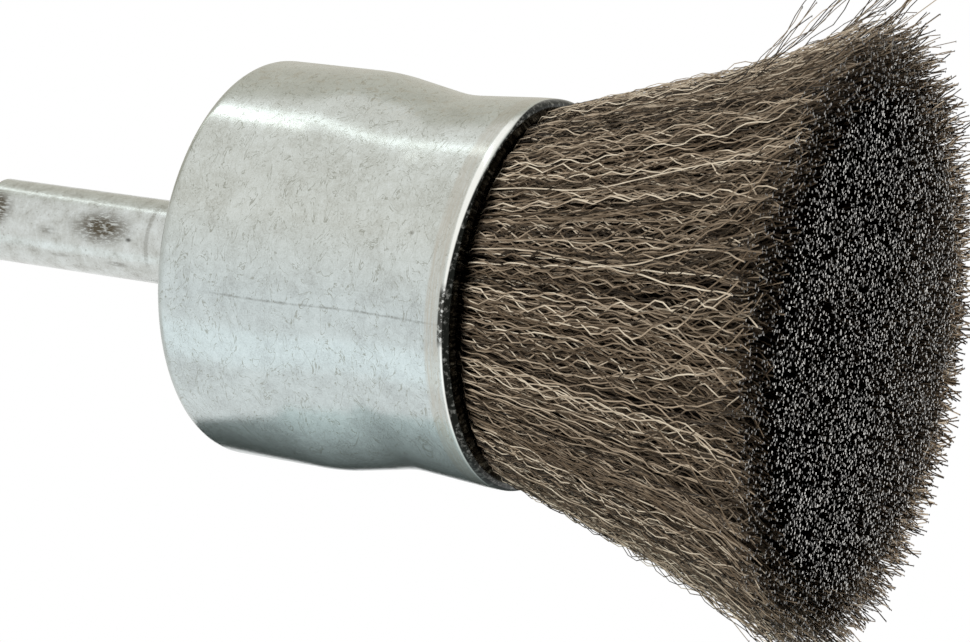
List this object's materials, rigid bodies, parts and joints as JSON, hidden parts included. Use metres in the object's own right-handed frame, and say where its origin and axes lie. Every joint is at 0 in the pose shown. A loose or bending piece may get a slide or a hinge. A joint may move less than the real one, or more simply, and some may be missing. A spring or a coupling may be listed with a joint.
{
  "type": "wire end brush",
  "caption": "Wire end brush: a round shank, a crimped metal cup and a flared solid bundle of crimped steel wires that cuts with its end face.",
  "frame": {"origin": "middle of the plane that the wire tips touch, on the axis of rotation", "axes": "+Z along the axis of rotation, from the wire face towards the shank's end"},
  "size_m": [0.0416, 0.0412, 0.0725],
  "materials": {
    "shank_steel": "satin, handled, with dark smudges",
    "zinc_plate": "zinc plated, softly mottled, satin",
    "inner_steel": "plain steel",
    "wire_steel": "oiled brown carbon steel wire, cut ends bright"
  },
  "bodies": {
    "root": {"shank": "shank_steel", "cup": "zinc_plate", "retaining_washer": "inner_steel", "anchor_ring": "inner_steel", "wire_hank_01": "wire_steel", "wire_hank_02": "wire_steel", "wire_hank_03": "wire_steel", "wire_hank_04": "wire_steel", "wire_hank_05": "wire_steel", "wire_hank_06": "wire_steel", "wire_hank_07": "wire_steel", "wire_hank_08": "wire_steel", "wire_hank_09": "wire_steel", "wire_hank_10": "wire_steel", "wire_hank_11": "wire_steel", "wire_hank_12": "wire_steel", "wire_hank_13": "wire_steel", "wire_hank_14": "wire_steel", "wire_hank_15": "wire_steel", "wire_hank_16": "wire_steel", "wire_hank_17": "wire_steel", "wire_hank_18": "wire_steel"}
  },
  "joints": []
}
